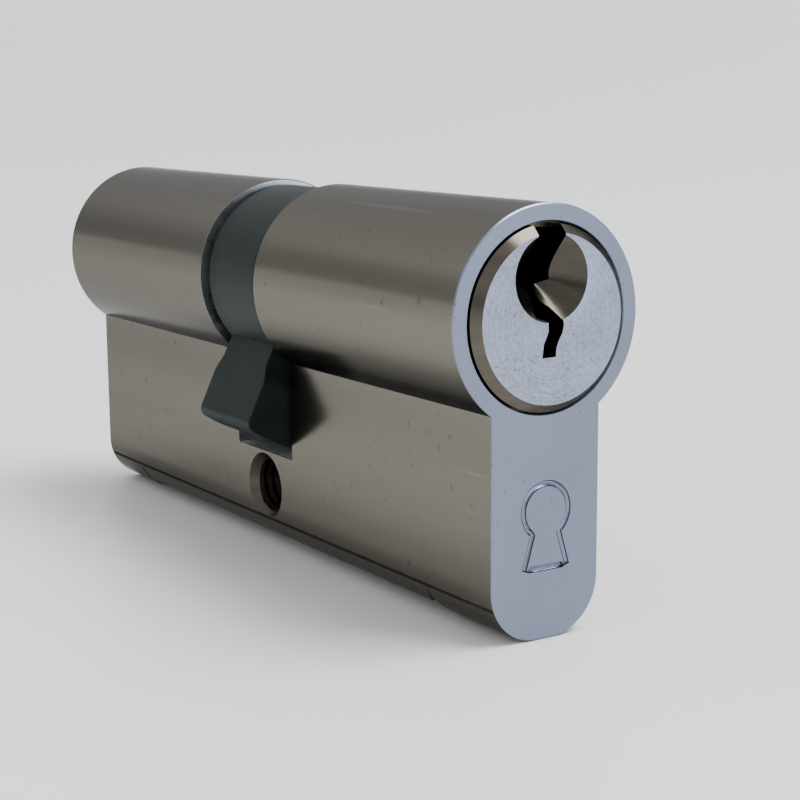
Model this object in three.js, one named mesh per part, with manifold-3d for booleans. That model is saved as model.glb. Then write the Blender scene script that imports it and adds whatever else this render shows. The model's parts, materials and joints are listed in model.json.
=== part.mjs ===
// Euro-profile double cylinder: a pin-tumbler lock cylinder that takes a key from both ends.
// Millimetres, +Z up. The origin is at the base, under the plug axis, half way along the housing.
// The front face is at -Y, the rear face at +Y, and the plug axis runs along Y at height AXIS_Z.

import * as THREE from 'three';
import { mergeVertices } from 'three/addons/utils/BufferGeometryUtils.js';
import Module from 'manifold-3d';

const wasm = await Module();
wasm.setup();

// ---- Driving dimensions -------------------------------------------------------------------

const LENGTH = 70;               // housing, face to face
const AXIS_Z = 24.5;             // plug axis above the base
const HEAD_R = 8.5;              // round head of the profile
const LEG_WIDTH = 10;            // flat-sided leg of the profile
const FOOT_R = 4.4;              // rounding of the leg's lower corners
const FOOT_FLAT = 1.1;           // half width of the flat that the cylinder stands on
const MILLED_Z = 1.1;            // height of the flat milled along the underside for the pin chambers
const MILLED_FRONT = -25.8;      // where that flat starts and ends along Y
const MILLED_REAR = 28;
const RUN_OUT_RISE = 1.5;        // deeper scoop at each end of the milled flat
const RUN_OUT_LENGTH = 0.8;

const CAM_SLOT = 10;             // width of the cut-out for the cam
const SLOT_FLOOR_Z = 9.1;
const SCREW_Z = 5.8;             // fixing-screw hole, across the leg under the cam
const SCREW_R = 2.1;             // core of an M5 thread
const SCREW_SINK_R = 3.05;       // countersunk mouth

const PLUG_R = 6.5;
const BORE_R = 6.75;
const FLANGE_R = 7;
const FLANGE_THICK = 2;          // 0.7 mm of it stands proud of the housing
const FLANGE_PROUD = 0.7;
const FLANGE_CHAMFER = 0.65;
const SEAT_R = 7.25;             // counterbore that the flange sits in
const SEAT_DEPTH = 1.5;
const KEY_SINK_R = 3.3;          // conical lead-in for the key
const KEY_SINK_X = -0.15;
const KEY_SINK_Z = 3.05;         // its centre above the plug axis

const GROOVE_R = 5.3;            // circlip groove and nose at the inner end of a plug
const GROOVE_START = 4.95;
const GROOVE_END = 4.25;
const NOSE_R = 5.9;
const NOSE_END = 0.6;            // distance between the nose's end and mid-length
const NOSE_RECESS_R = 4;
const NOSE_RECESS_DEPTH = 3.1;
const NOSE_SLOT = 2.7;

const CIRCLIP_INNER_R = 5.45;
const CIRCLIP_OUTER_R = 7.3;
const CIRCLIP_THICK = 0.5;
const CIRCLIP_Y = 4.6;           // its middle, from mid-length
const CIRCLIP_MOUTH = 35;        // half angle of its opening, degrees

const RING_R = 8;                // cam ring
const RING_BORE_R = 6.15;
const RING_WIDTH = 8.4;
const TAIL_WIDTH = 9.3;          // cam tail, along Y
const NECK_WIDTH = 8;            // its narrower neck, and the reach at which it starts to widen
const NECK_REACH = 8.6;
const NECK_FLARE = 2;            // reach over which it widens
const NECK_STEPS = 6;
const TAIL_R = 15.2;             // reach of its tip
const TAIL_NECK = 3.8;           // half width where it leaves the ring
const TAIL_TIP = 4.46;           // half width near the tip
const TAIL_CORNER = 0.8;
const TAIL_ROOT_R = 7.6;
const TAIL_ANGLE = 20;           // degrees from straight down, towards -X
const LUG_GROOVE = 2.5;          // grooves inside the ring for the clutch lugs
const LUG_GROOVE_R = 7.25;

const CLUTCH_R = 3.7;
const CLUTCH_THICK = 2.8;
const CLUTCH_Y = -2;             // its middle, in the front plug's nose
const CLUTCH_BAR = 2.2;
const CLUTCH_REACH = 7;
const CLUTCH_HOLE_R = 1.2;

const PIN_R = 1.45;
const CHAMBER_R = 1.7;
const PIN_COUNT = 5;
const FIRST_PIN = 11;            // from the plug's own face of the housing
const PIN_SPACING = 4;
const KEY_PIN_LENGTHS = [4.6, 3.8, 5.0, 4.2, 5.4];
const KEY_PIN_FOOT = 6.4;        // lower end of a key pin, below the plug axis
const KEY_PIN_CONE = 1.1;
const KEY_PIN_TIP_R = 0.4;
const PIN_BORE_TOP = 0.5;        // end of a plug's pin bore, below the plug axis
const DRIVER_LENGTH = 6;
const DRIVER_TOP_Z = 17.85;
const PIN_CHAMFER = 0.35;
const CHAMBER_PLUG_R = 1.6;
const CHAMBER_PLUG_Z = 1.25;
const CHAMBER_PLUG_THICK = 2;

const SPRING_R = 1.15;           // pin springs: mean coil radius, wire radius and turns
const WIRE_R = 0.19;
const SPRING_TURNS = 6;
const SPRING_END_PITCH = 0.5;    // rise of the closed turn at each end
const SPRING_GAP = 0.05;
const SPRING_STEPS = 8;          // straight steps in a turn
const WIRE_SIDES = 5;

const ROUND = 48;                // sides of the large circles
const CLUTCH_ROUND = 32;
const SCREW_ROUND = 24;
const SMALL_ROUND = 12;          // sides of the pins and their chambers
const HEAD_STEPS = 40;           // straight steps in the arcs of each outline
const FOOT_STEPS = 10;
const CIRCLIP_STEPS = 32;
const TAIL_CORNER_STEPS = 4;
const TAIL_TIP_STEPS = 8;
const OVERCUT = 1;               // how far a cutting solid runs past the face it opens

// ---- Materials ----------------------------------------------------------------------------

const metal = (color, roughness) => new THREE.MeshStandardMaterial({
  color,
  roughness,
  metalness: 1,
  flatShading: true,
});

const NICKEL = metal(0x9f9a91, 0.38);
const PLUG_NICKEL = metal(0xb4b4b8, 0.3);
const SINTERED = metal(0x47504e, 0.6);
const STEEL = metal(0x8b8f94, 0.35);
const SPRING_STEEL = metal(0x6d7074, 0.4);
const BRASS = metal(0xc2a25c, 0.35);

// ---- Solids -------------------------------------------------------------------------------

// A closed three.js geometry as a solid that can be joined and cut.
function solidOf(geometry) {
  const bare = geometry.clone();
  bare.deleteAttribute('normal');
  bare.deleteAttribute('uv');
  const merged = mergeVertices(bare);
  const index = merged.index.array;
  const triangles = [];
  for (let i = 0; i < index.length; i += 3) {
    const [a, b, c] = [index[i], index[i + 1], index[i + 2]];
    if (a !== b && b !== c && c !== a) {
      triangles.push(a, b, c);
    }
  }
  return new wasm.Manifold(new wasm.Mesh({
    numProp: 3,
    vertProperties: new Float32Array(merged.attributes.position.array),
    triVerts: new Uint32Array(triangles),
  }));
}

function cutAway(solid, ...cutters) {
  return cutters.reduce((rest, cutter) => rest.subtract(cutter), solid);
}

function meshOf(name, solid, material) {
  const { vertProperties, triVerts } = solid.getMesh();
  const geometry = new THREE.BufferGeometry();
  geometry.setAttribute('position', new THREE.BufferAttribute(vertProperties, 3));
  geometry.setIndex(new THREE.BufferAttribute(triVerts, 1));
  geometry.computeVertexNormals();
  const mesh = new THREE.Mesh(geometry, material);
  mesh.name = name;
  return mesh;
}

// Points of an arc in the profile plane, angles in degrees.
function arc(x, y, radius, from, to, steps) {
  return Array.from({ length: steps + 1 }, (_, i) => {
    const angle = THREE.MathUtils.degToRad(from + (to - from) * i / steps);
    return new THREE.Vector2(x + radius * Math.cos(angle), y + radius * Math.sin(angle));
  });
}

// A profile in X and Z, extruded along Y between two faces.
function alongY(points, from, to) {
  const geometry = new THREE.ExtrudeGeometry(new THREE.Shape(points), {
    depth: to - from,
    bevelEnabled: false,
  });
  return solidOf(geometry.rotateX(Math.PI / 2).translate(0, to, 0));
}

// A profile in Y and Z, extruded along X across the whole leg.
function acrossLeg(points) {
  const reach = LEG_WIDTH / 2 + OVERCUT;
  const geometry = new THREE.ExtrudeGeometry(new THREE.Shape(points), {
    depth: 2 * reach,
    bevelEnabled: false,
  });
  return solidOf(geometry.rotateX(Math.PI / 2).rotateZ(Math.PI / 2).translate(-reach, 0, 0));
}

function cylinderY(radius, from, to, sides = ROUND, z = AXIS_Z) {
  return solidOf(new THREE.CylinderGeometry(radius, radius, to - from, sides)
    .translate(0, (from + to) / 2, z));
}

function cylinderZ(radius, from, to, y) {
  return solidOf(new THREE.CylinderGeometry(radius, radius, to - from, SMALL_ROUND)
    .rotateX(Math.PI / 2)
    .translate(0, y, (from + to) / 2));
}

function box(x0, x1, y0, y1, z0, z1) {
  return solidOf(new THREE.BoxGeometry(x1 - x0, y1 - y0, z1 - z0)
    .translate((x0 + x1) / 2, (y0 + y1) / 2, (z0 + z1) / 2));
}

// A round piece turned about the Y axis at plug height, from [radius, y] pairs.
function turnedY(profile) {
  const points = profile.map(([radius, y]) => new THREE.Vector2(radius, y));
  return solidOf(new THREE.LatheGeometry(points, ROUND).translate(0, 0, AXIS_Z));
}

// A small round piece standing on the XY plane at [0, y], from [radius, height] pairs.
function turnedZ(profile, y, z) {
  const points = profile.map(([radius, height]) => new THREE.Vector2(radius, height));
  return solidOf(new THREE.LatheGeometry(points, SMALL_ROUND).rotateX(Math.PI / 2).translate(0, y, z));
}

const pinPlaces = Array.from({ length: PIN_COUNT }, (_, i) => -LENGTH / 2 + FIRST_PIN + i * PIN_SPACING);

// ---- Housing ------------------------------------------------------------------------------

// The standard profile: a round head on a flat-sided leg, with a narrow flat under its rounded foot.
function housingProfile() {
  const half = LEG_WIDTH / 2;
  const neck = THREE.MathUtils.radToDeg(Math.acos(half / HEAD_R));
  const corner = half - FOOT_R;
  const cut = Math.asin((FOOT_FLAT - corner) / FOOT_R);
  const height = FOOT_R * Math.cos(cut);
  const short = THREE.MathUtils.radToDeg(cut);
  return [
    ...arc(0, AXIS_Z, HEAD_R, -neck, 180 + neck, HEAD_STEPS),
    ...arc(-corner, height, FOOT_R, 180, 270 - short, FOOT_STEPS),
    ...arc(corner, height, FOOT_R, 270 + short, 360, FOOT_STEPS),
  ];
}

// The flat milled along the underside, with a deeper run-out at each end.
function milledFlat() {
  const below = -OVERCUT;
  const top = MILLED_Z + RUN_OUT_RISE;
  return acrossLeg([
    new THREE.Vector2(MILLED_FRONT, below),
    new THREE.Vector2(MILLED_REAR, below),
    new THREE.Vector2(MILLED_REAR, top),
    new THREE.Vector2(MILLED_REAR - RUN_OUT_LENGTH, MILLED_Z),
    new THREE.Vector2(MILLED_FRONT + RUN_OUT_LENGTH, MILLED_Z),
    new THREE.Vector2(MILLED_FRONT, top),
  ]);
}

// The fixing-screw hole with its countersunk mouths, along X.
function screwHole() {
  const half = LEG_WIDTH / 2;
  const sink = SCREW_SINK_R - SCREW_R;
  const points = [
    [0, -half - OVERCUT],
    [SCREW_SINK_R + OVERCUT, -half - OVERCUT],
    [SCREW_R, -half + sink],
    [SCREW_R, half - sink],
    [SCREW_SINK_R + OVERCUT, half + OVERCUT],
    [0, half + OVERCUT],
  ].map(([radius, x]) => new THREE.Vector2(radius, x));
  const turned = new THREE.LatheGeometry(points, SCREW_ROUND);
  return solidOf(turned.rotateZ(Math.PI / 2).translate(0, 0, SCREW_Z));
}

function housing() {
  const end = LENGTH / 2;
  const slot = CAM_SLOT / 2;
  const chambers = pinPlaces
    .flatMap((y) => [y, -y])
    .map((y) => cylinderZ(CHAMBER_R, -OVERCUT, AXIS_Z, y));
  return cutAway(
    alongY(housingProfile(), -end, end),
    cylinderY(BORE_R, -end - OVERCUT, end + OVERCUT),
    cylinderY(SEAT_R, -end - OVERCUT, -end + SEAT_DEPTH),
    cylinderY(SEAT_R, end - SEAT_DEPTH, end + OVERCUT),
    box(-HEAD_R - OVERCUT, HEAD_R + OVERCUT, -slot, slot, SLOT_FLOOR_Z, AXIS_Z + HEAD_R + OVERCUT),
    milledFlat(),
    screwHole(),
    ...chambers,
  );
}

// ---- Plug ---------------------------------------------------------------------------------

// Outline of the keyway about the plug axis, anticlockwise from the slot's lower left corner.
// It stays open through the top of the plug.
function keywayProfile() {
  const outline = [
    [-0.98, -2.8], [0.25, -2.8], [0.32, -2.1], [0.5, -1.65], [0.85, -1.05], [0.98, -0.5],
    [0.95, -0.2], [0.36, 0.8], [-0.14, 1.2], [-0.26, 2.03], [0.14, 2.35], [1.1, 2.7],
    [1.1, FLANGE_R + OVERCUT], [-1.38, FLANGE_R + OVERCUT], [-1.38, 2.75], [-0.95, 2.2],
    [-1.08, 1.32], [-1.37, 0.66], [-1.37, 0.22], [-0.43, -0.2], [-0.42, -0.9], [-0.85, -1.8],
  ];
  return outline.map(([x, z]) => new THREE.Vector2(x, AXIS_Z + z));
}

// The front plug. The rear one is the same part turned half way round the vertical axis.
function plug() {
  const face = -LENGTH / 2 - FLANGE_PROUD;
  const body = turnedY([
    [0, face],
    [FLANGE_R - FLANGE_CHAMFER, face],
    [FLANGE_R, face + FLANGE_CHAMFER],
    [FLANGE_R, face + FLANGE_THICK],
    [PLUG_R, face + FLANGE_THICK],
    [PLUG_R, -GROOVE_START],
    [GROOVE_R, -GROOVE_START],
    [GROOVE_R, -GROOVE_END],
    [NOSE_R, -GROOVE_END],
    [NOSE_R, -NOSE_END],
    [0, -NOSE_END],
  ]);
  const sink = turnedY([
    [0, face - OVERCUT],
    [KEY_SINK_R + OVERCUT, face - OVERCUT],
    [0, face + KEY_SINK_R],
  ]).translate([KEY_SINK_X, 0, KEY_SINK_Z]);
  const recessStart = -NOSE_END - NOSE_RECESS_DEPTH;
  const halfSlot = NOSE_SLOT / 2;
  const pinBores = pinPlaces.map((y) => cylinderZ(CHAMBER_R, 0, AXIS_Z - PIN_BORE_TOP, y));
  return cutAway(
    body,
    sink,
    alongY(keywayProfile(), face - OVERCUT, 0),
    cylinderY(NOSE_RECESS_R, recessStart, 0),
    box(-HEAD_R, HEAD_R, recessStart, 0, AXIS_Z - halfSlot, AXIS_Z + halfSlot),
    ...pinBores,
  );
}

function turnedAround(solid) {
  return solid.rotate([0, 0, 180]);
}

// ---- Circlip, cam and clutch --------------------------------------------------------------

function circlip(y) {
  const from = -90 + CIRCLIP_MOUTH;
  const to = 270 - CIRCLIP_MOUTH;
  const outline = [
    ...arc(0, AXIS_Z, CIRCLIP_OUTER_R, from, to, CIRCLIP_STEPS),
    ...arc(0, AXIS_Z, CIRCLIP_INNER_R, to, from, CIRCLIP_STEPS),
  ];
  return alongY(outline, y - CIRCLIP_THICK / 2, y + CIRCLIP_THICK / 2);
}

// One flank of the tail, in the tail's own plane: [along, across] from the plug axis.
function tailOutline() {
  const tipAngle = THREE.MathUtils.radToDeg(Math.asin((TAIL_TIP - TAIL_CORNER) / (TAIL_R - TAIL_CORNER)));
  const cornerX = (TAIL_R - TAIL_CORNER) * Math.cos(THREE.MathUtils.degToRad(tipAngle));
  const cornerY = TAIL_TIP - TAIL_CORNER;
  const neckX = Math.sqrt(TAIL_ROOT_R ** 2 - TAIL_NECK ** 2);
  return [
    new THREE.Vector2(neckX, -TAIL_NECK),
    ...arc(cornerX, -cornerY, TAIL_CORNER, -90, -tipAngle, TAIL_CORNER_STEPS),
    ...arc(0, 0, TAIL_R, -tipAngle, tipAngle, TAIL_TIP_STEPS).slice(1, -1),
    ...arc(cornerX, cornerY, TAIL_CORNER, tipAngle, 90, TAIL_CORNER_STEPS),
    new THREE.Vector2(neckX, TAIL_NECK),
  ];
}

// The waste beside the tail's neck on its +Y side, with a smooth flare out to the full width.
// It is drawn in the plane of [along, Y] and reaches right across the tail.
function neckWaste() {
  const rise = (TAIL_WIDTH - NECK_WIDTH) / 2;
  const outside = TAIL_WIDTH / 2 + OVERCUT;
  const flare = Array.from({ length: NECK_STEPS + 1 }, (_, i) => {
    const share = i / NECK_STEPS;
    const out = rise * THREE.MathUtils.smoothstep(share, 0, 1);
    return new THREE.Vector2(NECK_REACH + NECK_FLARE * share, NECK_WIDTH / 2 + out);
  });
  const outline = [
    new THREE.Vector2(0, outside),
    new THREE.Vector2(0, NECK_WIDTH / 2),
    ...flare,
    new THREE.Vector2(NECK_REACH + NECK_FLARE, outside),
  ];
  const geometry = new THREE.ExtrudeGeometry(new THREE.Shape(outline), {
    depth: 2 * HEAD_R,
    bevelEnabled: false,
  });
  const tilt = THREE.MathUtils.degToRad(90 + TAIL_ANGLE);
  return solidOf(geometry.translate(0, 0, -HEAD_R).rotateY(tilt).translate(0, 0, AXIS_Z));
}

// A ring that both plugs carry, with the tail that throws the bolt.
function cam() {
  const direction = THREE.MathUtils.degToRad(-90 - TAIL_ANGLE);
  const outline = tailOutline().map((point) => point
    .rotateAround(new THREE.Vector2(), direction)
    .add(new THREE.Vector2(0, AXIS_Z)));
  const halfRing = RING_WIDTH / 2;
  const halfTail = TAIL_WIDTH / 2;
  const waste = neckWaste();
  const tail = cutAway(
    alongY(outline, -halfTail, halfTail),
    cylinderY(TAIL_ROOT_R, -halfTail - OVERCUT, halfTail + OVERCUT),
    waste,
    waste.mirror([0, 1, 0]),
  );
  const halfGroove = LUG_GROOVE / 2;
  return cutAway(
    cylinderY(RING_R, -halfRing, halfRing).add(tail),
    cylinderY(RING_BORE_R, -halfTail - OVERCUT, halfTail + OVERCUT),
    box(-LUG_GROOVE_R, LUG_GROOVE_R, -halfRing - OVERCUT, halfRing + OVERCUT,
      AXIS_Z - halfGroove, AXIS_Z + halfGroove),
  );
}

// The sliding clutch: a disc with two lugs that keys the cam to one plug at a time.
function clutch() {
  const from = CLUTCH_Y - CLUTCH_THICK / 2;
  const to = CLUTCH_Y + CLUTCH_THICK / 2;
  const halfBar = CLUTCH_BAR / 2;
  return cylinderY(CLUTCH_R, from, to, CLUTCH_ROUND)
    .add(box(-CLUTCH_REACH, CLUTCH_REACH, from, to, AXIS_Z - halfBar, AXIS_Z + halfBar))
    .subtract(cylinderY(CLUTCH_HOLE_R, from - OVERCUT, to + OVERCUT, SMALL_ROUND));
}

// ---- Pin stacks ---------------------------------------------------------------------------

function keyPin(length, y) {
  return turnedZ([
    [0, 0],
    [PIN_R - PIN_CHAMFER, 0],
    [PIN_R, PIN_CHAMFER],
    [PIN_R, length - KEY_PIN_CONE],
    [KEY_PIN_TIP_R, length],
    [0, length],
  ], y, AXIS_Z - KEY_PIN_FOOT);
}

function driverPin(y) {
  return turnedZ([
    [0, 0],
    [PIN_R - PIN_CHAMFER, 0],
    [PIN_R, PIN_CHAMFER],
    [PIN_R, DRIVER_LENGTH - PIN_CHAMFER],
    [PIN_R - PIN_CHAMFER, DRIVER_LENGTH],
    [0, DRIVER_LENGTH],
  ], y, DRIVER_TOP_Z - DRIVER_LENGTH);
}

function chamberPlug(y) {
  return cylinderZ(CHAMBER_PLUG_R, CHAMBER_PLUG_Z, CHAMBER_PLUG_Z + CHAMBER_PLUG_THICK, y);
}

// A helix about Z whose first and last turns lie closed.
class SpringPath extends THREE.Curve {
  constructor(bottom, top, y) {
    super();
    this.bottom = bottom;
    this.top = top;
    this.y = y;
  }

  getPoint(t, target = new THREE.Vector3()) {
    const turn = t * SPRING_TURNS;
    const open = this.top - this.bottom - 2 * SPRING_END_PITCH;
    const middle = Math.min(Math.max(turn - 1, 0), SPRING_TURNS - 2) / (SPRING_TURNS - 2);
    const ends = Math.min(turn, 1) + Math.max(turn - SPRING_TURNS + 1, 0);
    const angle = 2 * Math.PI * turn;
    return target.set(
      SPRING_R * Math.cos(angle),
      this.y + SPRING_R * Math.sin(angle),
      this.bottom + middle * open + ends * SPRING_END_PITCH,
    );
  }
}

function pinSpring(y) {
  const bottom = CHAMBER_PLUG_Z + CHAMBER_PLUG_THICK + WIRE_R + SPRING_GAP;
  const top = DRIVER_TOP_Z - DRIVER_LENGTH - WIRE_R - SPRING_GAP;
  const section = new THREE.Shape(arc(0, 0, WIRE_R, 0, 360, WIRE_SIDES).slice(0, -1));
  return solidOf(new THREE.ExtrudeGeometry(section, {
    steps: SPRING_TURNS * SPRING_STEPS,
    extrudePath: new SpringPath(bottom, top, y),
  }));
}

// ---- Assembly -----------------------------------------------------------------------------

const lock = new THREE.Group();
lock.add(meshOf('housing', housing(), NICKEL));
lock.add(meshOf('plug_front', plug(), PLUG_NICKEL));
lock.add(meshOf('plug_rear', turnedAround(plug()), PLUG_NICKEL));
lock.add(meshOf('cam', cam(), SINTERED));
lock.add(meshOf('clutch', clutch(), STEEL));
lock.add(meshOf('circlip_front', circlip(-CIRCLIP_Y), SPRING_STEEL));
lock.add(meshOf('circlip_rear', circlip(CIRCLIP_Y), SPRING_STEEL));

for (const side of ['front', 'rear']) {
  pinPlaces.forEach((place, i) => {
    const y = side === 'front' ? place : -place;
    const label = `${side}_${i + 1}`;
    lock.add(meshOf(`key_pin_${label}`, keyPin(KEY_PIN_LENGTHS[i], y), BRASS));
    lock.add(meshOf(`driver_pin_${label}`, driverPin(y), BRASS));
    lock.add(meshOf(`pin_spring_${label}`, pinSpring(y), SPRING_STEEL));
    lock.add(meshOf(`chamber_plug_${label}`, chamberPlug(y), NICKEL));
  });
}

export default lock;
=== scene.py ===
"""Euro-profile double lock cylinder: the fine visible pieces, their materials and a plain studio."""

import json
import math

import bmesh
import bpy
from mathutils import Matrix, Vector


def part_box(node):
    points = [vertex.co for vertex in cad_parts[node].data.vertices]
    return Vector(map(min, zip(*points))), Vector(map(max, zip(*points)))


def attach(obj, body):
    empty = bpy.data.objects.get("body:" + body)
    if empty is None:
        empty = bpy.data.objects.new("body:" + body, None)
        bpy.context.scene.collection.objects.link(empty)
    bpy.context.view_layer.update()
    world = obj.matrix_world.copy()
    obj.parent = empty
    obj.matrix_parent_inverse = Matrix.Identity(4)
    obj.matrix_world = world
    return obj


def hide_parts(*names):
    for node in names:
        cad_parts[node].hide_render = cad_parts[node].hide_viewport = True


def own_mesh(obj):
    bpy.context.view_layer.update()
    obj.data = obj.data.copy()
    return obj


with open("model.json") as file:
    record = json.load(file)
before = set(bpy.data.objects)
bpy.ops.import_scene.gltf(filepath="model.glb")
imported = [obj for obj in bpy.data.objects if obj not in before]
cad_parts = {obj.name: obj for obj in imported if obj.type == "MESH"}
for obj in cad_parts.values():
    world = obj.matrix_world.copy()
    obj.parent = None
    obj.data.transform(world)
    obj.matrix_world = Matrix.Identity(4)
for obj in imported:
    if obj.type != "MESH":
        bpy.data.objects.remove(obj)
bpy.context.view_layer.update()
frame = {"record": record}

# ---- Places and sizes ---------------------------------------------------------------------
# Lengths below are in millimetres, and MM turns them into the scene's metres.

MM = 0.001
JOINTS = {joint["name"]: joint for joint in frame["record"]["behaviour"]["joints"]}


def box_mm(node):
    low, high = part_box(node)
    return low / MM, high / MM


housing_high = box_mm("housing")[1]
FACE = housing_high.y                       # distance of each end face from mid-length
AXIS_Z = JOINTS["plug_front_turn"]["pos_m"][2] / MM
HEAD_R = housing_high.x
LEG_HALF = 5.0
FOOT_R = 4.4
FOOT_FLAT = 1.1
EDGE = 0.10                                 # small chamfer on the housing's outer edges
SLOT_HALF = 5.0
SLOT_FLOOR_Z = 9.1
MILLED_Z = 1.1
MILLED_FRONT = -25.8
MILLED_REAR = 28.0
RUN_OUT_RISE = 1.5
RUN_OUT_LENGTH = 0.8
SCREW_Z = 5.8
SCREW_CORE_R = 2.1
SCREW_THREAD_DEPTH = 0.32
SCREW_PITCH = 0.8
SCREW_SINK_R = 3.05
SINK_DEPTH = 0.7                            # how deep the countersink's own shade reaches
THREAD_REACH = 2.5                          # radius that holds the whole thread

BORE_R = 6.62
SEAT_R = 7.15
SEAT_DEPTH = 1.5
SEAT_LIP = 0.08

PLUG_R = 6.5
FLANGE_R = 7.0
FLANGE_THICK = 2.0
FLANGE_CHAMFER = 0.65
FLANGE_PROUD = 0.7
KEY_SINK_R = 3.3
KEY_SINK_X = -0.15
KEY_SINK_Z = 3.05
GROOVE_R = 5.3
GROOVE_START = 4.95
GROOVE_END = 4.25
NOSE_R = 5.9
NOSE_END = 0.6
NOSE_RECESS_R = 4.0
NOSE_RECESS_DEPTH = 3.1
NOSE_SLOT = 2.7
NOSE_CHAMFER = 0.3
PIN_BORE_TOP = 0.5
CHAMBER_R = 1.65

RING_R = 8.0
RING_BORE_R = 6.1
RING_HALF = 4.2
TAIL_HALF = 4.65
TAIL_R = 15.2
TAIL_NECK = 3.8
NECK_HALF = 4.0
NECK_REACH = 8.6
NECK_FLARE = 2.0
TAIL_TIP = 4.46
TAIL_CORNER = 0.8
TAIL_ROOT_R = 7.6
TAIL_ANGLE = 20.0
LUG_GROOVE = 2.5
LUG_GROOVE_R = 7.25

CLUTCH_R = 3.7
CLUTCH_BAR = 2.2
CLUTCH_HOLE_R = 1.2

CIRCLIP_INNER_R = 5.4
CIRCLIP_OUTER_R = 7.3
CIRCLIP_MOUTH = 35.0

KEYHOLE_Z = 10.0                            # the engraved keyhole: middle of its round part
KEYHOLE_R = 2.1
KEYHOLE_DROP = 4.4
KEYHOLE_HALF_FOOT = 2.0
KEYHOLE_WAIST = 35.0
ENGRAVED_R = 0.24

SPRING_WIRE_R = 0.19
SPRING_TURNS = 6
SPRING_END_PITCH = 0.5

SLOT_EDGE = 0.1                             # widths of the broken edges
RIM_EDGE = 0.04
TAIL_EDGE = 0.12
RING_EDGE = 0.15
CLUTCH_EDGE = 0.2
BAR_EDGE = 0.15
CLIP_EDGE = 0.06

SIDES = 144                                 # sides of the large circles
PIN_SIDES = 48
OVER = 1.0                                  # how far a cutting piece runs past a face
FAR = 20.0                                  # reach of a cutting box that clears everything
NEAR = 0.01                                 # how close counts as lying on a surface
SAME = 0.001                                # how close counts as one place
SIDE_NAMES = ("front", "rear")
PIN_COUNT = 5


def off_axis(p):
    """Distance from the plug axis."""
    return math.hypot(p.x, p.z - AXIS_Z)


def off_screw(p):
    """Distance from the fixing hole's axis."""
    return math.hypot(p.y, p.z - SCREW_Z)


# ---- Mesh tools ---------------------------------------------------------------------------

def new_object(name, points, faces):
    mesh = bpy.data.meshes.new(name)
    mesh.from_pydata([Vector(p) * MM for p in points], [], faces)
    mesh.validate()
    built = bpy.data.objects.new(name, mesh)
    bpy.context.scene.collection.objects.link(built)
    face_outwards(built)
    return built


def face_outwards(piece):
    bm = bmesh.new()
    bm.from_mesh(piece.data)
    bmesh.ops.recalc_face_normals(bm, faces=bm.faces)
    bm.to_mesh(piece.data)
    bm.free()


def arc(x, y, radius, start, end, steps):
    """Points of an arc, angles in degrees."""
    angles = [math.radians(start + (end - start) * i / steps) for i in range(steps + 1)]
    return [(x + radius * math.cos(a), y + radius * math.sin(a)) for a in angles]


def loft(name, rings, closed=False):
    """A skin through rings of equally many points, capped at both ends unless it closes on itself."""
    count = len(rings[0])
    points = [p for ring in rings for p in ring]
    faces = []
    for i in range(len(rings) if closed else len(rings) - 1):
        here, there = i * count, (i + 1) % len(rings) * count
        for j in range(count):
            k = (j + 1) % count
            faces.append((here + j, here + k, there + k, there + j))
    if not closed:
        faces.append(tuple(range(count)))
        faces.append(tuple(range(len(points) - count, len(points))))
    return new_object(name, points, faces)


def prism_y(name, outline, start, end):
    """An outline in X and Z between two places along Y."""
    return loft(name, [[(x, y, z) for x, z in outline] for y in (start, end)])


def lathe(name, profile, axis="Y", centre=(0, 0, 0), sides=SIDES):
    """A piece turned from (radius, height) pairs that start and end on its axis."""
    def place(radius, height, angle):
        u, v = radius * math.cos(angle), radius * math.sin(angle)
        local = {"X": (height, u, v), "Y": (u, height, v), "Z": (u, v, height)}[axis]
        return Vector(local) + Vector(centre)

    angles = [2 * math.pi * i / sides for i in range(sides)]
    rings = [[place(r, h, a) for a in angles] for r, h in profile[1:-1]]
    piece_points = [p for ring in rings for p in ring]
    faces = []
    for i in range(len(rings) - 1):
        for j in range(sides):
            k = (j + 1) % sides
            faces.append((i * sides + j, i * sides + k, (i + 1) * sides + k, (i + 1) * sides + j))
    for ring, (_, height) in ((0, profile[0]), (len(rings) - 1, profile[-1])):
        tip = len(piece_points)
        piece_points.append(place(0, height, 0))
        faces += [(ring * sides + j, ring * sides + (j + 1) % sides, tip) for j in range(sides)]
    return new_object(name, piece_points, faces)


def box_piece(name, low, high):
    (x0, y0, z0), (x1, y1, z1) = low, high
    return prism_y(name, [(x0, z0), (x1, z0), (x1, z1), (x0, z1)], y0, y1)


def combine(piece, other, operation):
    """Joins the other piece to this one, or cuts it away, and removes it."""
    boolean = piece.modifiers.new("combine", "BOOLEAN")
    boolean.operation = operation
    boolean.solver = "EXACT"
    boolean.object = other
    bpy.context.view_layer.update()
    evaluated = piece.evaluated_get(bpy.context.evaluated_depsgraph_get())
    result = bpy.data.meshes.new_from_object(evaluated)
    piece.modifiers.clear()
    piece.data = result
    bpy.data.objects.remove(other)


def cut(piece, *cutters):
    for cutter in cutters:
        combine(piece, cutter, "DIFFERENCE")


def bevel_where(piece, test, width, segments=2):
    """Rounds the edges whose two ends, in millimetres, and faces pass the test."""
    bm = bmesh.new()
    bm.from_mesh(piece.data)
    bmesh.ops.remove_doubles(bm, verts=bm.verts, dist=0.002 * MM)
    edges = [e for e in bm.edges if test(e, *(v.co / MM for v in e.verts))]
    bmesh.ops.bevel(
        bm,
        geom=edges,
        offset=width * MM,
        segments=segments,
        profile=0.5,
        affect="EDGES",
        clamp_overlap=True,
    )
    bm.to_mesh(piece.data)
    bm.free()


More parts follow.
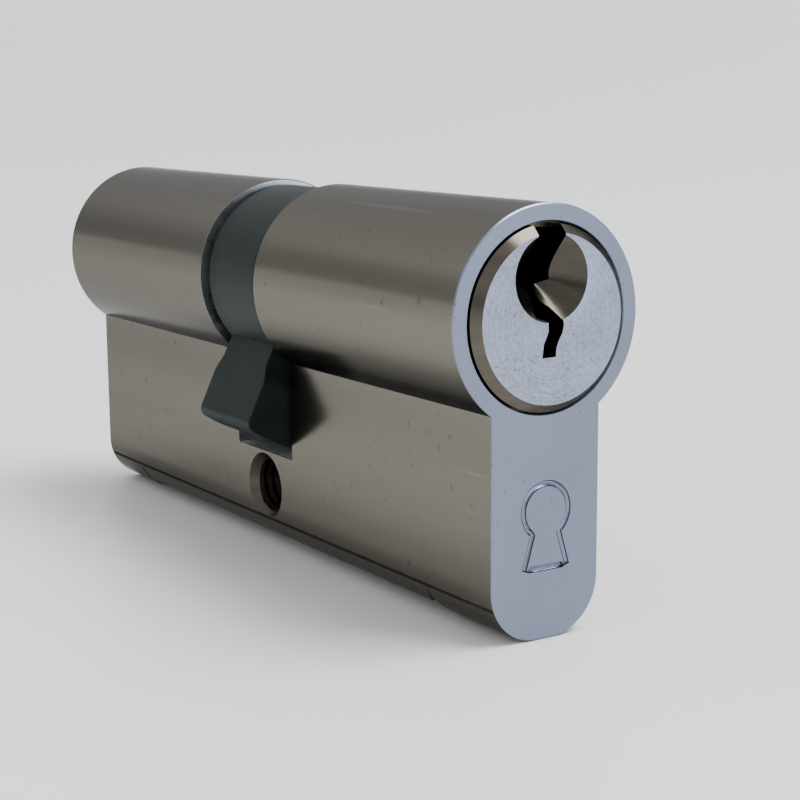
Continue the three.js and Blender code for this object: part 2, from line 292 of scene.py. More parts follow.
def smooth(piece, angle=28):
    """Soft shading over curves, with hard edges where faces meet at more than the angle."""
    piece.data.shade_smooth()
    piece.data.set_sharp_from_angle(angle=math.radians(angle))
    weighted = piece.modifiers.new("weighted normals", "WEIGHTED_NORMAL")
    weighted.keep_sharp = True
    weighted.weight = 100


def place_piece(piece, body, nodes, slot, *materials):
    """Shades a piece, gives it its materials and puts it on its body in place of CAD nodes."""
    piece.data.materials.clear()
    for material in materials:
        piece.data.materials.append(material)
    smooth(piece)
    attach(piece, body)
    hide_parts(*nodes)


def paint_faces(piece, index, test):
    """Gives the faces that pass the test the material at that index."""
    for face in piece.data.polygons:
        if test(face.center / MM, face.normal):
            face.material_index = index


# ---- Materials ----------------------------------------------------------------------------

class Nodes:
    """A short way to build one material's node tree."""

    def __init__(self, name):
        self.material = bpy.data.materials.new(name)
        self.material.use_nodes = True
        self.tree = self.material.node_tree
        self.shader = self.tree.nodes["Principled BSDF"]
        self.places = self.add("ShaderNodeTexCoord").outputs["Object"]

    def add(self, kind, links=None, **settings):
        node = self.tree.nodes.new(kind)
        for key, value in settings.items():
            setattr(node, key, value)
        for socket, value in (links or {}).items():
            self.set(node, socket, value)
        return node

    def set(self, node, socket, value):
        if isinstance(value, bpy.types.NodeSocket):
            self.tree.links.new(value, node.inputs[socket])
        else:
            node.inputs[socket].default_value = value

    def math(self, operation, a, b=0.0):
        return self.add("ShaderNodeMath", {0: a, 1: b}, operation=operation).outputs[0]

    def mapped(self, scale, offset=(0, 0, 0)):
        links = {"Vector": self.places, "Scale": scale, "Location": offset}
        return self.add("ShaderNodeMapping", links).outputs["Vector"]

    def noise(self, scale, stretch=(1, 1, 1), detail=3.0, roughness=0.5):
        links = {
            "Vector": self.mapped(stretch),
            "Scale": scale,
            "Detail": detail,
            "Roughness": roughness,
        }
        return self.add("ShaderNodeTexNoise", links).outputs["Fac"]

    def ramp(self, value, *stops):
        node = self.add("ShaderNodeValToRGB", {"Fac": value})
        ramp = node.color_ramp
        while len(ramp.elements) < len(stops):
            ramp.elements.new(0.5)
        for element, (position, color) in zip(ramp.elements, stops):
            element.position = position
            element.color = (*color, 1)
        return node.outputs["Color"]

    def mix(self, share, first, second):
        """The first colour where the share is 0, the second where it is 1."""
        node = self.add("ShaderNodeMix", data_type="RGBA")
        for socket, value in ((0, share), (6, first), (7, second)):
            self.set(node, socket, (*value, 1) if isinstance(value, tuple) else value)
        return node.outputs[2]

    def spread(self, value, low, high):
        """Maps 0..1 onto low..high."""
        links = {"Value": value, "To Min": low, "To Max": high}
        return self.add("ShaderNodeMapRange", links).outputs["Result"]

    def bump(self, height, strength, distance, normal=None):
        links = {"Height": height, "Strength": strength, "Distance": distance * MM}
        if normal is not None:
            links["Normal"] = normal
        return self.add("ShaderNodeBump", links).outputs["Normal"]

    def finish(self, **sockets):
        for socket, value in sockets.items():
            self.set(self.shader, socket.replace("_", " "), value)
        return self.material


def shade(color, factor):
    return tuple(channel * factor for channel in color)


def marks(n, scale, stretch, low, high):
    """Sparse marks: 1 where a stretched noise peaks, 0 elsewhere."""
    return n.ramp(n.noise(scale, stretch=stretch, detail=1), (low, (0, 0, 0)), (high, (1, 1, 1)))


def satin_nickel(name, base, roughness, grain):
    """Plated metal with a fine grain drawn out along the housing, faint specks and a few scratches."""
    n = Nodes(name)
    streaks = n.noise(1100, stretch=(1, grain, 1), detail=4)
    bands = n.noise(170, stretch=(1, grain, 1), detail=3)
    cloud = n.noise(60, stretch=(1, 0.4, 1), detail=3)
    specks = marks(n, 1500, (1, 1, 1), 0.70, 0.78)
    scratches = marks(n, 420, (1, 0.12, 4), 0.74, 0.77)
    nicks = marks(n, 1000, (0.9, 1.2, 0.7), 0.735, 0.77)
    tone = n.ramp(bands, (0.3, shade(base, 0.89)), (0.7, shade(base, 1.11)))
    dark = n.math("MAXIMUM", n.math("MULTIPLY", specks, 0.35), n.math("MULTIPLY", nicks, 0.5))
    dusted = n.mix(dark, tone, shade(base, 0.4))
    fine = n.bump(streaks, 0.08, 0.02)
    pitted = n.bump(specks, 0.10, 0.01, fine)
    return n.finish(
        Base_Color=n.mix(n.math("MULTIPLY", scratches, 0.35), dusted, shade(base, 1.6)),
        Metallic=1.0,
        Specular_Tint=(0.5, 0.5, 0.52, 1),
        Roughness=n.spread(cloud, roughness - 0.04, roughness + 0.03),
        Normal=n.bump(scratches, 0.15, 0.01, pitted),
    )


def end_face_nickel(name, base, roughness):
    """Finely ground faces with small dark pits."""
    n = Nodes(name)
    cloud = n.noise(120, detail=3)
    grind = n.noise(2600, stretch=(1, 1, 0.25), detail=2)
    pits = marks(n, 3000, (1, 1, 1), 0.69, 0.75)
    tone = n.ramp(cloud, (0.3, shade(base, 0.95)), (0.7, shade(base, 1.05)))
    fine = n.bump(grind, 0.10, 0.01)
    return n.finish(
        Base_Color=n.mix(n.math("MULTIPLY", pits, 0.6), tone, shade(base, 0.3)),
        Metallic=1.0,
        Roughness=n.spread(cloud, roughness - 0.03, roughness + 0.04),
        Normal=n.bump(pits, 0.2, 0.02, fine),
    )


def turned_nickel(name, base, roughness):
    """Plated metal with the lathe's rings round the plug axis, broken up by fine wear."""
    n = Nodes(name)
    centred = n.add("ShaderNodeVectorMath", {0: n.places, 1: (0, 0, AXIS_Z * MM)}, operation="SUBTRACT")
    flat = n.add("ShaderNodeVectorMath", {0: centred.outputs[0], 1: (1, 0, 1)}, operation="MULTIPLY")
    radius = n.add("ShaderNodeVectorMath", {0: flat.outputs[0]}, operation="LENGTH").outputs["Value"]
    rings = n.add(
        "ShaderNodeTexNoise",
        {"W": n.math("MULTIPLY", radius, 7500), "Scale": 1.0, "Detail": 2.0},
        noise_dimensions="1D",
    ).outputs["Fac"]
    wear = n.noise(420, detail=4)
    mottle = n.noise(3000, detail=4, roughness=0.6)
    grooves = n.math("MULTIPLY", rings, n.spread(wear, 0.2, 1.4))
    tone = n.ramp(grooves, (0.25, shade(base, 0.72)), (0.60, shade(base, 1.12)))
    speckled = n.ramp(mottle, (0.40, (0, 0, 0)), (0.62, (1, 1, 1)))
    pits = marks(n, 3200, (1, 1, 1), 0.68, 0.75)
    fine = n.bump(grooves, 0.55, 0.012)
    flecked = n.mix(n.math("MULTIPLY", speckled, 0.5), tone, shade(base, 1.35))
    return n.finish(
        Base_Color=n.mix(n.math("MULTIPLY", pits, 0.6), flecked, shade(base, 0.25)),
        Metallic=1.0,
        Roughness=n.spread(mottle, roughness - 0.08, roughness + 0.10),
        Normal=n.bump(mottle, 0.40, 0.012, fine),
    )


def sintered_steel(name):
    """Dark, slightly green pressed-powder steel with fine pores."""
    n = Nodes(name)
    cloud = n.noise(250, detail=4)
    pores = n.ramp(n.noise(5200, detail=2), (0.30, (0, 0, 0)), (0.45, (1, 1, 1)))
    color = n.ramp(cloud, (0.3, (0.015, 0.023, 0.021)), (0.7, (0.022, 0.032, 0.029)))
    grain = n.bump(n.noise(3000, detail=3), 0.4, 0.02)
    return n.finish(
        Base_Color=color,
        Metallic=0.6,
        Specular_IOR_Level=0.35,
        Specular_Tint=(0.6, 0.6, 0.6, 1),
        Roughness=n.spread(cloud, 0.38, 0.52),
        Normal=n.bump(pores, 0.25, 0.01, grain),
    )


def plain_metal(name, base, roughness, glance=1.0, scale=1500):
    """Turned or drawn metal with fine marks. Glance is how strongly it mirrors at flat angles."""
    n = Nodes(name)
    marks = n.noise(scale, stretch=(0.3, 0.3, 1), detail=3)
    return n.finish(
        Base_Color=n.ramp(marks, (0.35, shade(base, 0.9)), (0.65, shade(base, 1.05))),
        Metallic=1.0,
        Specular_Tint=(glance, glance, glance, 1),
        Roughness=n.spread(marks, roughness - 0.05, roughness + 0.07),
        Normal=n.bump(marks, 0.15, 0.01),
    )


NICKEL = satin_nickel("satin_nickel", (0.156, 0.147, 0.124), 0.21, 0.02)
# Ground end faces: pits and grind are real; the brighter blue-grey base is painted reflection of cool
# front light.
END_NICKEL_PAINTED_SHEEN = end_face_nickel("end_face_nickel", (0.194, 0.216, 0.297), 0.27)
# Slot walls: bright blue-grey base, painted highlight on the milled faces.
SLOT_WALL_PAINTED_SHEEN = plain_metal("milled_wall_painted_sheen", (0.48, 0.51, 0.56), 0.28)
# Slot floor: near white and rough, painted glint of light on the milled floor.
SLOT_FLOOR_PAINTED_GLINT = plain_metal("milled_floor_painted_glint", (0.90, 0.94, 1.0), 0.60)
# Countersink mouths: darker than the flank and weak at glancing angles, painted shade of the recess.
SINK_PAINTED_SHADE = plain_metal("countersink_painted_shade", (0.085, 0.077, 0.063), 0.38, 0.3)
BORE_METAL = plain_metal("bored_brass", (0.16, 0.135, 0.095), 0.35)
# Thread in the cross hole: near black, painted shade for the unlit inside of the hole.
THREAD_PAINTED_SHADE = plain_metal("thread_painted_shade", (0.014, 0.012, 0.009), 0.45, 0.3)
# Plug face: turning rings and pits are real; the blue-grey base is painted reflection of cool front
# light.
PLUG_FACE_PAINTED_SHEEN = turned_nickel("plug_nickel", (0.270, 0.300, 0.390), 0.30)
# Flange chamfer and rim: the plug's own nickel, painted dark warm as a painted reflection of dark warm
# surroundings.
PLUG_EDGE_PAINTED_REFLECTION = plain_metal("flange_nickel_painted_reflection", (0.095, 0.084, 0.070), 0.20, 0.6)
# Keyway and key countersink: dark, weakly glancing base, painted shade inside the cuts.
PLUG_CUT_PAINTED_SHADE = plain_metal("cut_nickel_painted_shade", (0.062, 0.056, 0.046), 0.18, 0.5)
SINTERED = sintered_steel("sintered_steel")
CLUTCH_STEEL = plain_metal("clutch_steel", (0.45, 0.46, 0.48), 0.32)
SPRING_STEEL = plain_metal("spring_steel", (0.38, 0.39, 0.41), 0.30)
PIN_BRASS = plain_metal("pin_brass", (0.72, 0.55, 0.26), 0.28)


# ---- Housing ------------------------------------------------------------------------------

def housing_outline(inset):
    """The housing's profile in X and Z, moved inwards all round by the inset."""
    head, half, foot = HEAD_R - inset, LEG_HALF - inset, FOOT_R - inset
    neck = math.degrees(math.acos(half / head))
    corner = LEG_HALF - FOOT_R
    height = FOOT_R * math.cos(math.asin((FOOT_FLAT - corner) / FOOT_R))
    short = math.degrees(math.acos((height - inset) / foot))
    return [
        *arc(0, AXIS_Z, head, -neck, 180 + neck, 110),
        *arc(-corner, height, foot, 180, 270 - short, 18),
        *arc(corner, height, foot, 270 + short, 360, 18),
    ]


def housing_blank():
    def ring(inset, y):
        return [(x, y, z) for x, z in housing_outline(inset)]

    return loft("housing_body", [
        ring(EDGE, -FACE),
        ring(0, -FACE + EDGE),
        ring(0, FACE - EDGE),
        ring(EDGE, FACE),
    ])


def plug_bore():
    """The bore through both halves, with the flange seats and their broken edges."""
    seat = FACE - SEAT_DEPTH
    return lathe("bore", [
        (0, -FACE - OVER),
        (SEAT_R + SEAT_LIP + OVER, -FACE - OVER),
        (SEAT_R, -FACE + SEAT_LIP),
        (SEAT_R, -seat),
        (BORE_R, -seat),
        (BORE_R, seat),
        (SEAT_R, seat),
        (SEAT_R, FACE - SEAT_LIP),
        (SEAT_R + SEAT_LIP + OVER, FACE + OVER),
        (0, FACE + OVER),
    ], centre=(0, 0, AXIS_Z))


def milled_flat():
    low, top = -OVER, MILLED_Z + RUN_OUT_RISE
    side = [
        (MILLED_FRONT, low),
        (MILLED_REAR, low),
        (MILLED_REAR, top),
        (MILLED_REAR - RUN_OUT_LENGTH, MILLED_Z),
        (MILLED_FRONT + RUN_OUT_LENGTH, MILLED_Z),
        (MILLED_FRONT, top),
    ]
    reach = LEG_HALF + OVER
    return loft("milled", [[(x, y, z) for y, z in side] for x in (-reach, reach)])


def screw_hole():
    """The cross hole with its countersunk mouths and a helical thread."""
    sides, steps = 56, 150
    reach = LEG_HALF + OVER

    def radius(x, turn):
        depth = LEG_HALF - abs(x)
        wave = abs(((x / SCREW_PITCH + turn) % 1) * 2 - 1)
        core = SCREW_CORE_R + SCREW_THREAD_DEPTH * (1 - wave)
        sink = SCREW_SINK_R - depth
        return max(core, sink)

    rings = []
    for i in range(steps + 1):
        x = -reach + 2 * reach * i / steps
        ring = []
        for j in range(sides):
            turn = j / sides
            out, a = radius(x, turn), 2 * math.pi * turn
            ring.append((x, out * math.cos(a), SCREW_Z + out * math.sin(a)))
        rings.append(ring)
    return loft("screw_hole", rings)


def pin_places(side):
    """Where a side's pins stand along Y."""
    labels = [f"chamber_plug_{side}_{i + 1}" for i in range(PIN_COUNT)]
    return [sum(corner.y for corner in box_mm(label)) / 2 for label in labels]


def chamber(y):
    return lathe("chamber", [(0, -OVER), (CHAMBER_R, -OVER), (CHAMBER_R, AXIS_Z - 4), (0, AXIS_Z - 4)],
                 axis="Z", centre=(0, y, 0), sides=PIN_SIDES)


def engraved_keyhole():
    """A round-bottomed groove round a plain keyhole shape, low on the front face."""
    foot = KEYHOLE_Z - KEYHOLE_DROP
    outline = [
        *arc(0, KEYHOLE_Z, KEYHOLE_R, 270 + KEYHOLE_WAIST, 630 - KEYHOLE_WAIST, 40),
        *straight((-KEYHOLE_HALF_FOOT, foot), (KEYHOLE_HALF_FOOT, foot), 8),
    ]
    return groove("keyhole", outline, -FACE, ENGRAVED_R)


def straight(start, end, steps):
    (x0, y0), (x1, y1) = start, end
    return [(x0 + (x1 - x0) * i / steps, y0 + (y1 - y0) * i / steps) for i in range(steps + 1)]


def groove(name, outline, y, radius, sides=12):
    """A closed round bar along an outline in X and Z, for cutting an engraved line."""
    rings = []
    count = len(outline)
    for i, (x, z) in enumerate(outline):
        before, after = Vector(outline[i - 1]), Vector(outline[(i + 1) % count])
        along = (after - before).normalized()
        across = Vector((along.y, -along.x))
        angles = [2 * math.pi * j / sides for j in range(sides)]
        ring = []
        for a in angles:
            out = radius * math.cos(a)
            ring.append((x + across.x * out, y + radius * math.sin(a), z + across.y * out))
        rings.append(ring)
    return loft(name, rings, closed=True)


def build_housing():
    housing = housing_blank()
    cut(housing, plug_bore(), milled_flat(), screw_hole())
    cut(housing, *(chamber(y) for side in SIDE_NAMES for y in pin_places(side)))
    cut(housing, box_piece("slot", (-FAR, -SLOT_HALF, SLOT_FLOOR_Z), (FAR, SLOT_HALF, AXIS_Z + FAR)))
    cut(housing, engraved_keyhole())

    def slot_rim(edge, a, b):
        if max(abs(abs(p.y) - SLOT_HALF) for p in (a, b)) > NEAR:
            return False
        return all(on_outside(p) for p in (a, b)) and edge.calc_face_angle(0) > 0.5

    bevel_where(housing, slot_rim, SLOT_EDGE)
    place_piece(housing, "housing", ["housing"], "satin_nickel",
                NICKEL, END_NICKEL_PAINTED_SHEEN, BORE_METAL, SLOT_WALL_PAINTED_SHEEN, THREAD_PAINTED_SHADE, SINK_PAINTED_SHADE, SLOT_FLOOR_PAINTED_GLINT)
    paint_housing(housing)


def paint_housing(housing):
    """Gives the housing's faces their metals and their painted shade, highlight and glint; a later line
    wins where two hold the same face.
    """
    def bored(c, n):
        return off_axis(c) < SEAT_R + NEAR and abs(c.y) < FACE - NEAR

    def slot_wall(c, n):
        return abs(c.y) < SLOT_HALF + NEAR and (abs(n.y) > 0.9 or c.z > SLOT_FLOOR_Z - NEAR)

    def slot_floor(c, n):
        return abs(c.y) < SLOT_HALF and abs(c.z - SLOT_FLOOR_Z) < NEAR and n.z > 0.9

    def threaded(c, n):
        return abs(c.x) < LEG_HALF - SINK_DEPTH and off_screw(c) < THREAD_REACH

    # end faces take the ground nickel with its painted blue-grey reflection
    paint_faces(housing, 1, lambda c, n: abs(n.y) > 0.6 and abs(c.y) > FACE - 0.5)
    paint_faces(housing, 2, bored)
    # slot walls take the painted highlight
    paint_faces(housing, 3, slot_wall)
    # the slot floor takes the painted glint
    paint_faces(housing, 6, slot_floor)
    # the countersink mouths take the painted shade
    paint_faces(housing, 5, lambda c, n: abs(n.x) < 0.95 and off_screw(c) < SCREW_SINK_R)
    # the thread deep in the cross hole takes the painted shade
    paint_faces(housing, 4, threaded)


def on_outside(p):
    """Whether a point lies on the head's or the leg's outer surface, above the foot."""
    on_head = abs(off_axis(p) - HEAD_R) < NEAR
    on_leg = abs(abs(p.x) - LEG_HALF) < NEAR and p.z > SLOT_FLOOR_Z - NEAR
    return on_head or on_leg


# ---- Plugs --------------------------------------------------------------------------------

KEYWAY = [
    (-0.98, -2.8), (0.25, -2.8), (0.32, -2.1), (0.5, -1.65), (0.85, -1.05), (0.98, -0.5),
    (0.95, -0.2), (0.36, 0.8), (-0.14, 1.2), (-0.26, 2.03), (0.14, 2.35), (1.1, 2.7),
    (1.1, 8.0), (-1.38, 8.0), (-1.38, 2.75), (-0.95, 2.2),
    (-1.08, 1.32), (-1.37, 0.66), (-1.37, 0.22), (-0.43, -0.2), (-0.42, -0.9), (-0.85, -1.8),
]


def build_plug(side):
    """One plug. The rear plug is the front one turned half way round the vertical axis."""
    face = -FACE - FLANGE_PROUD
    centre = (0, 0, AXIS_Z)
    plug = lathe(f"plug_{side}_body", [
        (0, face),
        (FLANGE_R - FLANGE_CHAMFER, face),
        (FLANGE_R, face + FLANGE_CHAMFER),
        (FLANGE_R, face + FLANGE_THICK),
        (PLUG_R, face + FLANGE_THICK),
        (PLUG_R, -GROOVE_START),
        (GROOVE_R, -GROOVE_START),
        (GROOVE_R, -GROOVE_END),
        (NOSE_R, -GROOVE_END),
        (NOSE_R, -NOSE_END - NOSE_CHAMFER),
        (NOSE_R - NOSE_CHAMFER, -NOSE_END),
        (0, -NOSE_END),
    ], centre=centre)
    point = 0.02
    sink = lathe("sink", [
        (0, face - OVER),
        (KEY_SINK_R + OVER, face - OVER),
        (point, face + KEY_SINK_R - point),
        (0, face + KEY_SINK_R),
    ], centre=(KEY_SINK_X, 0, AXIS_Z + KEY_SINK_Z))
    keyway = prism_y("keyway", [(x, AXIS_Z + z) for x, z in KEYWAY], face - OVER, 0)
    recess_start = -NOSE_END - NOSE_RECESS_DEPTH
    recess = lathe("recess", [
        (0, recess_start),
        (NOSE_RECESS_R, recess_start),
        (NOSE_RECESS_R, 0),
        (0, 0),
    ], centre=centre)
    half_slot = NOSE_SLOT / 2
    slot = box_piece("slot", (-FAR, recess_start, AXIS_Z - half_slot), (FAR, 0, AXIS_Z + half_slot))
    cut(plug, sink, keyway, recess, slot)
    for y in pin_places("front"):
        top = AXIS_Z - PIN_BORE_TOP
        cut(plug, lathe("pin_bore", [(0, 0), (CHAMBER_R, 0), (CHAMBER_R, top), (0, top)],
                        axis="Z", centre=(0, y, 0), sides=PIN_SIDES))

    def face_rim(edge, a, b):
        on_face = max(abs(p.y - face) for p in (a, b)) < 0.002
        inside = all(off_axis(p) < FLANGE_R - FLANGE_CHAMFER - 0.05 for p in (a, b))
        return on_face and inside and edge.calc_face_angle(0) > 0.4

    bevel_where(plug, face_rim, RIM_EDGE, segments=1)
    if side == "rear":
        plug.data.transform(Matrix.Rotation(math.pi, 4, "Z"))
    place_piece(plug, f"plug_{side}", [f"plug_{side}"], "plug_nickel", PLUG_FACE_PAINTED_SHEEN, PLUG_CUT_PAINTED_SHADE, PLUG_EDGE_PAINTED_REFLECTION)
    rim = PLUG_R - 0.3
    # keyway and countersink faces take the painted shade
    paint_faces(plug, 1, lambda c, n: abs(n.y) < 0.9 and off_axis(c) < rim)
    # flange chamfer and rim take the painted dark warm reflection
    paint_faces(plug, 2, lambda c, n: abs(n.y) < 0.9 and off_axis(c) > rim)


# ---- Cam, clutch and circlips -------------------------------------------------------------

def tail_outline():
    """The tail in its own plane, (along, across) from the plug axis."""
    reach = TAIL_R - TAIL_CORNER
    side = TAIL_TIP - TAIL_CORNER
    tip = math.degrees(math.asin(side / reach))
    corner = reach * math.cos(math.radians(tip))
    root = math.sqrt(TAIL_ROOT_R ** 2 - TAIL_NECK ** 2)
    return [
        (root, -TAIL_NECK),
        *arc(corner, -side, TAIL_CORNER, -90, -tip, 8),
        *arc(0, 0, TAIL_R, -tip, tip, 24)[1:-1],
        *arc(corner, side, TAIL_CORNER, tip, 90, 8),
        (root, TAIL_NECK),
    ]


def tail_place(along, across):
    """Where a point of the tail's own plane stands in X and Z."""
    turn = math.radians(-90 - TAIL_ANGLE)
    cos, sin = math.cos(turn), math.sin(turn)
    return along * cos - across * sin, AXIS_Z + along * sin + across * cos


def neck_waste(way):
    """What is missing beside the tail near the ring, on the side of mid-length the way points to."""
    steps = 12
    flare = []
    for i in range(steps + 1):
        t = i / steps
        wider = (TAIL_HALF - NECK_HALF) * t * t * (3 - 2 * t)
        flare.append((NECK_REACH + NECK_FLARE * t, NECK_HALF + wider))
    outside = TAIL_HALF + OVER
    outline = [(0, outside), (0, NECK_HALF), *flare, (NECK_REACH + NECK_FLARE, outside)]
    rings = []
    for across in (-HEAD_R, HEAD_R):
        places = [(tail_place(along, across), y) for along, y in outline]
        rings.append([(x, way * y, z) for (x, z), y in places])
    return loft("neck_waste", rings)


def build_cam():
    tail = prism_y("tail", [tail_place(u, v) for u, v in tail_outline()], -TAIL_HALF, TAIL_HALF)
    cut(tail, neck_waste(-1), neck_waste(1))
    bevel_where(tail, lambda e, a, b: e.calc_face_angle(0) > 1.0, TAIL_EDGE)
    wide = TAIL_HALF + OVER
    cut(tail, bar_y("root", TAIL_ROOT_R, -wide, wide))
    cam = edged_disc("cam_body", RING_R, -RING_HALF, RING_HALF, RING_EDGE)
    combine(cam, tail, "UNION")
    cut(cam, bar_y("ring_bore", RING_BORE_R, -wide, wide))
    cut(cam, box_piece("grooves", (-LUG_GROOVE_R, -wide, AXIS_Z - LUG_GROOVE / 2),
                       (LUG_GROOVE_R, wide, AXIS_Z + LUG_GROOVE / 2)))
    place_piece(cam, "cam", ["cam"], "sintered_steel", SINTERED)


def bar_y(name, radius, start, end):
    """A round bar on the plug axis."""
    return lathe(name, [(0, start), (radius, start), (radius, end), (0, end)], centre=(0, 0, AXIS_Z))


def edged_disc(name, radius, start, end, edge):
    """A round bar on the plug axis with both rims broken."""
    return lathe(name, [
        (0, start),
        (radius - edge, start),
        (radius, start + edge),
        (radius, end - edge),
        (radius - edge, end),
        (0, end),
    ], centre=(0, 0, AXIS_Z))


def build_clutch():
    low, high = box_mm("clutch")
    clutch = edged_disc("clutch_body", CLUTCH_R, low.y, high.y, CLUTCH_EDGE)
    bar_low = (low.x, low.y, AXIS_Z - CLUTCH_BAR / 2)
    bar_high = (high.x, high.y, AXIS_Z + CLUTCH_BAR / 2)
    bar = box_piece("bar", bar_low, bar_high)
    bevel_where(bar, lambda e, a, b: True, BAR_EDGE)
    combine(clutch, bar, "UNION")
    cut(clutch, bar_y("hole", CLUTCH_HOLE_R, low.y - OVER, high.y + OVER))
    place_piece(clutch, "clutch", ["clutch"], "clutch_steel", CLUTCH_STEEL)


def build_circlip(side):
    node = f"circlip_{side}"
    low, high = box_mm(node)
    start, end = -90 + CIRCLIP_MOUTH, 270 - CIRCLIP_MOUTH
    middle = (CIRCLIP_OUTER_R + CIRCLIP_INNER_R) / 2
    width = (CIRCLIP_OUTER_R - CIRCLIP_INNER_R) / 2
    outline = [
        *arc(0, AXIS_Z, CIRCLIP_OUTER_R, start, end, 90),
        *end_cap(middle, end, width, 1)[1:-1],
        *arc(0, AXIS_Z, CIRCLIP_INNER_R, end, start, 90),
        *end_cap(middle, start, width, -1)[1:-1],
    ]
    clip = prism_y(f"{node}_strip", outline, low.y, high.y)
    bevel_where(clip, lambda e, a, b: abs(a.y - b.y) < SAME, CLIP_EDGE)
    place_piece(clip, f"plug_{side}", [node], "spring_steel", SPRING_STEEL)


def end_cap(radius, angle, width, way):
    """The round end of the circlip, as a half circle about a point on its middle line."""
    a = math.radians(angle)
    x, z = radius * math.cos(a), AXIS_Z + radius * math.sin(a)
    if way > 0:
        return arc(x, z, width, angle, angle + 180, 10)
    return arc(x, z, width, angle + 180, angle + 360, 10)


# ---- Pin stacks ---------------------------------------------------------------------------

def turned_pin(node, body, slot, material, profile):
    """A small round piece that stands where its CAD node stands; the profile starts at its foot."""
    low, high = box_mm(node)
    centre = ((low.x + high.x) / 2, (low.y + high.y) / 2, low.z)
    outline = profile(high.x, high.z - low.z)
    piece = lathe(f"{node}_turned", outline, axis="Z", centre=centre, sides=PIN_SIDES)
    place_piece(piece, body, [node], slot, material)


def key_pin_profile(radius, height):
    return [
        (0, 0), (radius - 0.35, 0), (radius - 0.15, 0.1), (radius, 0.35),
        (radius, height - 1.1), (0.5, height - 0.12), (0.3, height), (0, height),
    ]


def driver_pin_profile(radius, height):
    return [
        (0, 0), (radius - 0.35, 0), (radius, 0.35),
        (radius, height - 0.35), (radius - 0.35, height), (0, height),
    ]


def chamber_plug_profile(radius, height):
    return [
        (0, 0.12), (radius - 0.5, 0.05), (radius - 0.12, 0), (radius, 0.12),
        (radius, height - 0.12), (radius - 0.12, height), (0, height),
    ]


def build_spring(node):
    """A compression spring with closed ends, sized to its CAD node's box."""
    low, high = box_mm(node)
    steps, sides = 28, 10
    radius = high.x - SPRING_WIRE_R
    bottom, top = low.z + SPRING_WIRE_R, high.z - SPRING_WIRE_R
    y = (low.y + high.y) / 2
    rings = []
    for i in range(SPRING_TURNS * steps + 1):
        turn = i / steps
        middle = min(max(turn - 1, 0), SPRING_TURNS - 2) / (SPRING_TURNS - 2)
        ends = min(turn, 1) + max(turn - SPRING_TURNS + 1, 0)
        open_length = top - bottom - 2 * SPRING_END_PITCH
        z = bottom + middle * open_length + ends * SPRING_END_PITCH
        a = 2 * math.pi * turn
        out = Vector((math.cos(a), math.sin(a), 0))
        centre = Vector((0, y, z)) + out * radius
        ring = []
        for j in range(sides):
            b = 2 * math.pi * j / sides
            rise = Vector((0, 0, SPRING_WIRE_R * math.sin(b)))
            ring.append(centre + out * SPRING_WIRE_R * math.cos(b) + rise)
        rings.append(ring)
    spring = loft(f"{node}_wire", rings)
    place_piece(spring, "housing", [node], "spring_steel", SPRING_STEEL)
    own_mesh(spring)


def build_stack(side, number):
    label = f"{side}_{number}"
    key_pin, driver, plug = (f"{kind}_{label}" for kind in ("key_pin", "driver_pin", "chamber_plug"))
    turned_pin(key_pin, key_pin, "pin_brass", PIN_BRASS, key_pin_profile)
    turned_pin(driver, driver, "pin_brass", PIN_BRASS, driver_pin_profile)
    turned_pin(plug, "housing", "satin_nickel", NICKEL, chamber_plug_profile)
    build_spring(f"pin_spring_{label}")


# ---- Studio -------------------------------------------------------------------------------

def build_camera():
    """The camera stands to the left of the front face, a little above the lock, and looks along it."""
    azimuth, elevation, roll = (math.radians(a) for a in (-32.647, 10.362, -0.417))
    back = Vector((
        math.sin(azimuth) * math.cos(elevation),
        -math.cos(azimuth) * math.cos(elevation),
        math.sin(elevation),
    ))
    right = Vector((0, 0, 1)).cross(back).normalized()
    up = back.cross(right)
    turned_right = right * math.cos(roll) + up * math.sin(roll)
    turned_up = up * math.cos(roll) - right * math.sin(roll)
    data = bpy.data.cameras.new("camera")
    data.lens = 78.5
    data.clip_start = 0.01
    data.clip_end = 20
    camera = bpy.data.objects.new("camera", data)
    bpy.context.scene.collection.objects.link(camera)
    rotation = Matrix((turned_right, turned_up, back)).transposed().to_4x4()
    camera.matrix_world = Matrix.Translation(Vector((-77.64, -136.04, 41.71)) * MM) @ rotation
    bpy.context.scene.camera = camera


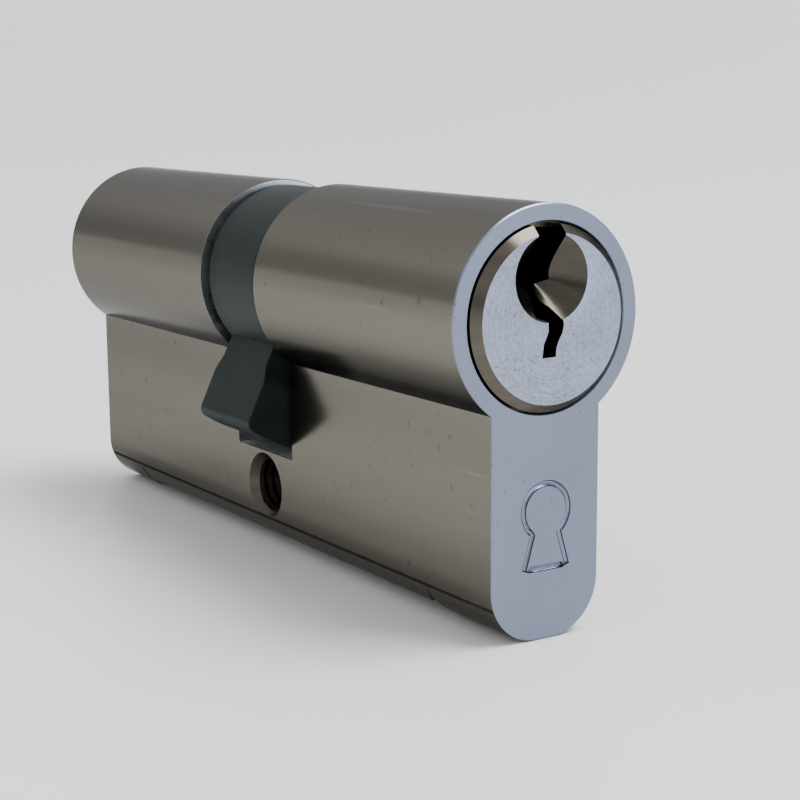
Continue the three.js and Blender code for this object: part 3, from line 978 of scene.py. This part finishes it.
def build_floor():
    """A pale table that sweeps up a little all round into a low backdrop."""
    flat, reach, rise, steps = 0.9, 1.8, 0.2, 24
    profile = [(flat, 0.0)]
    for i in range(1, steps + 1):
        a = math.pi / 2 * i / steps
        profile.append((flat + (reach - flat) * math.sin(a), rise * (1 - math.cos(a))))
    sides = 96
    points, faces = [(0, 0, 0)], []
    for r, z in profile:
        points += [(r * math.cos(2 * math.pi * j / sides), r * math.sin(2 * math.pi * j / sides), z)
                   for j in range(sides)]
    faces += [(0, 1 + j, 1 + (j + 1) % sides) for j in range(sides)]
    for i in range(len(profile) - 1):
        for j in range(sides):
            a, b = 1 + i * sides + j, 1 + i * sides + (j + 1) % sides
            faces.append((a, b, b + sides, a + sides))
    floor = new_object("floor", [Vector(p) / MM for p in points], faces)
    bm = bmesh.new()
    bm.from_mesh(floor.data)
    for face in bm.faces:
        outwards = face.normal.dot(face.calc_center_median()) > 0
        if face.normal.z < 0 or (face.normal.z < NEAR and outwards):
            face.normal_flip()
    bm.to_mesh(floor.data)
    bm.free()
    floor.data.shade_smooth()
    n = Nodes("table")
    floor.data.materials.append(n.finish(
        Base_Color=(0.89, 0.89, 0.875, 1),
        Roughness=n.spread(n.noise(30, detail=2), 0.36, 0.42),
    ))


def area_light(name, place, target, size, power, color):
    data = bpy.data.lights.new(name, "AREA")
    data.shape = "RECTANGLE"
    data.size, data.size_y = size
    data.energy = power
    data.color = color
    light = bpy.data.objects.new(name, data)
    bpy.context.scene.collection.objects.link(light)
    direction = Vector(target) - Vector(place)
    light.rotation_mode = "QUATERNION"
    light.rotation_quaternion = direction.to_track_quat("-Z", "Y")
    light.location = place


def build_room():
    """Soft light from all round: dimmer above the backdrop, brightest half way up."""
    world = bpy.data.worlds.new("room")
    bpy.context.scene.world = world
    world.use_nodes = True
    tree = world.node_tree
    background = tree.nodes["Background"]
    place = tree.nodes.new("ShaderNodeTexCoord")
    height = tree.nodes.new("ShaderNodeSeparateXYZ")
    ramp = tree.nodes.new("ShaderNodeValToRGB")
    tree.links.new(place.outputs["Generated"], height.inputs[0])
    tree.links.new(height.outputs["Z"], ramp.inputs["Fac"])
    tree.links.new(ramp.outputs["Color"], background.inputs["Color"])
    levels = ((0.10, 0.78), (0.27, 0.86), (0.42, 1.46), (0.60, 1.28), (1.0, 1.14))
    while len(ramp.color_ramp.elements) < len(levels):
        ramp.color_ramp.elements.new(0.5)
    for element, (position, level) in zip(ramp.color_ramp.elements, levels):
        element.position = position
        element.color = (level * 0.97, level * 0.985, level, 1)
    background.inputs["Strength"].default_value = 0.82


def build_lights():
    centre = (0, 0, 0.02)
    area_light("ceiling_window", (0.8, -0.6, 2.0), centre, (1.4, 1.2), 64, (0.98, 0.99, 1.0))
    area_light("front_window", (0.47, -1.3, 0.2), centre, (0.5, 0.4), 2.0, (0.74, 0.85, 1.0))


build_camera()
build_floor()
build_room()
build_lights()
build_housing()
for end in SIDE_NAMES:
    build_plug(end)
    build_circlip(end)
    for pin in range(1, PIN_COUNT + 1):
        build_stack(end, pin)
build_cam()
build_clutch()
